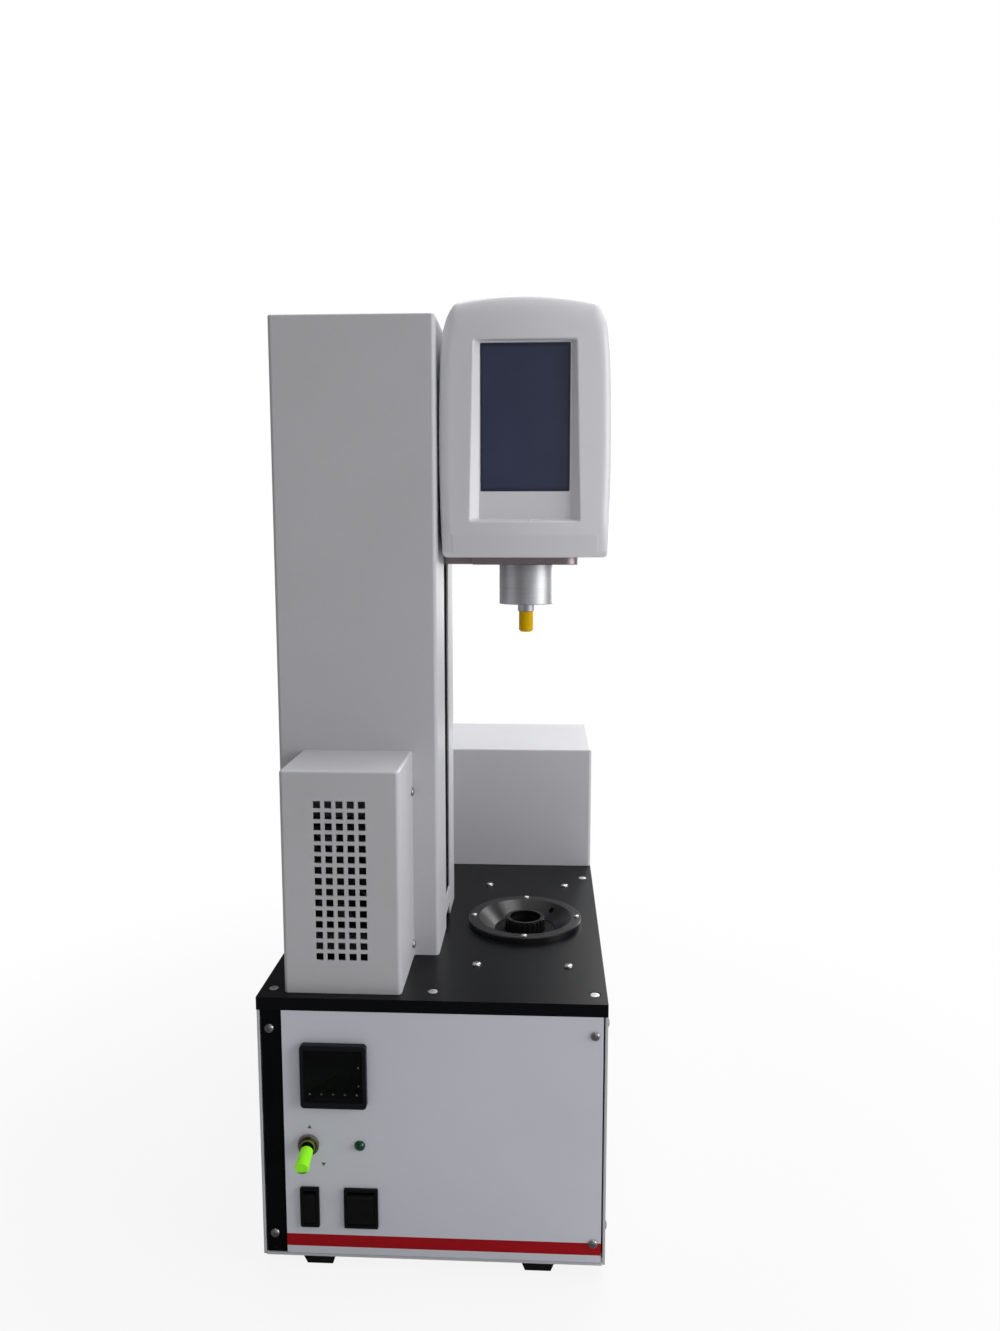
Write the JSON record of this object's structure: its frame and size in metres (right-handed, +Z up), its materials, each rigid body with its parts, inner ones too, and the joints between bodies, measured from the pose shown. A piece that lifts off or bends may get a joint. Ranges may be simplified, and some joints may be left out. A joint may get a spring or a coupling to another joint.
{
  "type": "rotational viscometer",
  "caption": "Bench rotational viscometer: a measuring head on a motor driven lift column over a cooled sample well, on a cabinet with a temperature controller and switches.",
  "frame": {"origin": "middle of the whole object's footprint, on the bench plane under the feet", "axes": "+X to the right seen from the front, +Y to the back, +Z up along the column"},
  "size_m": [0.2569, 0.4638, 0.714],
  "materials": {
    "white_paint": "fine texture powder coat, satin",
    "black_paint": "satin black",
    "front_print": "matt printed sheet with a red stripe",
    "white_plastic": "smooth satin plastic",
    "black_plastic": "fine matt black",
    "grey_plastic": "matt dark grey",
    "black_rubber": "matt rubber",
    "steel": "bright ground steel",
    "screw_steel": "bright nickel plate",
    "aluminium": "turned and anodised",
    "plate_metal": "brushed",
    "brass": "bright",
    "bushing_metal": "nickel plated brass",
    "lime_sleeve": "soft gloss",
    "green_lens": "green lens, unlit",
    "yellow_plastic": "soft gloss",
    "display_glass": "dark blue grey display, unlit",
    "foam": "closed cell foam",
    "ceramic": "white ceramic",
    "board": "green circuit board"
  },
  "bodies": {
    "cabinet": {"chassis": "white_paint", "front_panel": "black_paint", "front_sheet": "front_print", "side_cover_left": "white_paint", "side_cover_right": "white_paint", "top_plate": "black_paint", "rear_panel": "white_paint", "feet": "black_rubber", "pan_screws": "screw_steel", "countersunk_screws": "screw_steel", "ring_screws": "screw_steel", "controller_case": "black_plastic", "toggle_body": "bushing_metal", "toggle_nut": "bushing_metal", "indicator_lamp": "green_lens", "small_rocker_case": "black_plastic", "large_rocker_case": "black_plastic", "power_inlet": "black_plastic", "power_supply": "aluminium", "driver_board": "board", "cooling_block": "aluminium", "block_insulation": "foam", "cooling_modules": "ceramic", "heat_sinks": "aluminium", "cooling_fan_frames": "black_plastic", "funnel_ring": "black_plastic", "temperature_probe": "steel", "column_front_shell": "white_paint", "column_rear_shell": "white_paint", "lift_frame": "black_paint", "guide_rods": "steel", "lift_motor": "black_paint", "fan_box": "white_paint", "box_fan_frame": "black_plastic", "rear_box": "white_paint"},
    "lift": {"carriage": "aluminium", "lift_nut": "brass", "lift_arm": "plate_metal", "head_front_shell": "white_plastic", "head_rear_shell": "white_plastic", "display_panel": "display_glass", "head_base_plate": "plate_metal", "spindle_guard": "aluminium", "drive_motor": "grey_plastic"},
    "screw": {"lead_screw": "steel"},
    "spindle": {"spindle_shaft": "steel"},
    "cap": {"spindle_cap": "yellow_plastic"},
    "toggle": {"toggle_lever": "steel", "toggle_sleeve": "lime_sleeve"},
    "rocker_small": {"small_rocker": "black_plastic"},
    "rocker_large": {"large_rocker": "black_plastic"},
    "box_rotor": {"box_fan_rotor": "black_plastic"},
    "front_rotor": {"cooling_rotor_front": "black_plastic"},
    "rear_rotor": {"cooling_rotor_rear": "black_plastic"},
    "collar": {"tube_collar": "black_plastic"},
    "key_1": {"controller_key_1": "grey_plastic"},
    "key_2": {"controller_key_2": "grey_plastic"},
    "key_3": {"controller_key_3": "grey_plastic"},
    "key_4": {"controller_key_4": "grey_plastic"},
    "key_5": {"controller_key_5": "grey_plastic"}
  },
  "joints": [
    {"name": "head_lift", "type": "slide", "parent": "cabinet", "child": "lift", "axis": [0, 0, 1], "range_m": [-0.25, 0.01]},
    {"name": "screw_turn", "type": "hinge", "parent": "cabinet", "child": "screw", "pos_m": [-0.06425, -0.05908, 0.2105], "axis": [0, 0, 1], "range_deg": [-450.5, 11251]},
    {"name": "spindle_spin", "type": "hinge", "parent": "lift", "child": "spindle", "pos_m": [0.06372, -0.05808, 0.5165], "axis": [0, 0, 1], "continuous": true},
    {"name": "cap_pull", "type": "slide", "parent": "spindle", "child": "cap", "axis": [0, 0, -1], "range_m": [0, 0.03]},
    {"name": "toggle_throw", "type": "hinge", "parent": "cabinet", "child": "toggle", "pos_m": [-0.0901, -0.20858, 0.0986], "axis": [-1, 0, 0], "range_deg": [0, 24]},
    {"name": "small_rocker_press", "type": "hinge", "parent": "cabinet", "child": "rocker_small", "pos_m": [-0.0902, -0.20608, 0.0498], "axis": [-1, 0, 0], "range_deg": [0, 14]},
    {"name": "large_rocker_press", "type": "hinge", "parent": "cabinet", "child": "rocker_large", "pos_m": [-0.0524, -0.20608, 0.0498], "axis": [-1, 0, 0], "range_deg": [0, 14]},
    {"name": "box_fan_spin", "type": "hinge", "parent": "cabinet", "child": "box_rotor", "pos_m": [-0.06475, -0.18808, 0.2941], "axis": [0, 1, 0], "continuous": true},
    {"name": "front_fan_spin", "type": "hinge", "parent": "cabinet", "child": "front_rotor", "pos_m": [0.06372, -0.16358, 0.1305], "axis": [0, 1, 0], "continuous": true},
    {"name": "rear_fan_spin", "type": "hinge", "parent": "cabinet", "child": "rear_rotor", "pos_m": [0.06372, 0.04742, 0.1305], "axis": [0, 1, 0], "continuous": true},
    {"name": "collar_lift_out", "type": "slide", "parent": "cabinet", "child": "collar", "axis": [0, 0, 1], "range_m": [0, 0.035]},
    {"name": "key_1_press", "type": "slide", "parent": "cabinet", "child": "key_1", "axis": [0, 1, 0], "range_m": [0, 0.0005], "stiffness_N_per_m": 400, "springref_m": -0.0005},
    {"name": "key_2_press", "type": "slide", "parent": "cabinet", "child": "key_2", "axis": [0, 1, 0], "range_m": [0, 0.0005], "stiffness_N_per_m": 400, "springref_m": -0.0005},
    {"name": "key_3_press", "type": "slide", "parent": "cabinet", "child": "key_3", "axis": [0, 1, 0], "range_m": [0, 0.0005], "stiffness_N_per_m": 400, "springref_m": -0.0005},
    {"name": "key_4_press", "type": "slide", "parent": "cabinet", "child": "key_4", "axis": [0, 1, 0], "range_m": [0, 0.0005], "stiffness_N_per_m": 400, "springref_m": -0.0005},
    {"name": "key_5_press", "type": "slide", "parent": "cabinet", "child": "key_5", "axis": [0, 1, 0], "range_m": [0, 0.0005], "stiffness_N_per_m": 400, "springref_m": -0.0005}
  ],
  "couplings": [
    {"joint": "screw_turn", "follows": "head_lift", "rad_per_m": -785.4}
  ]
}
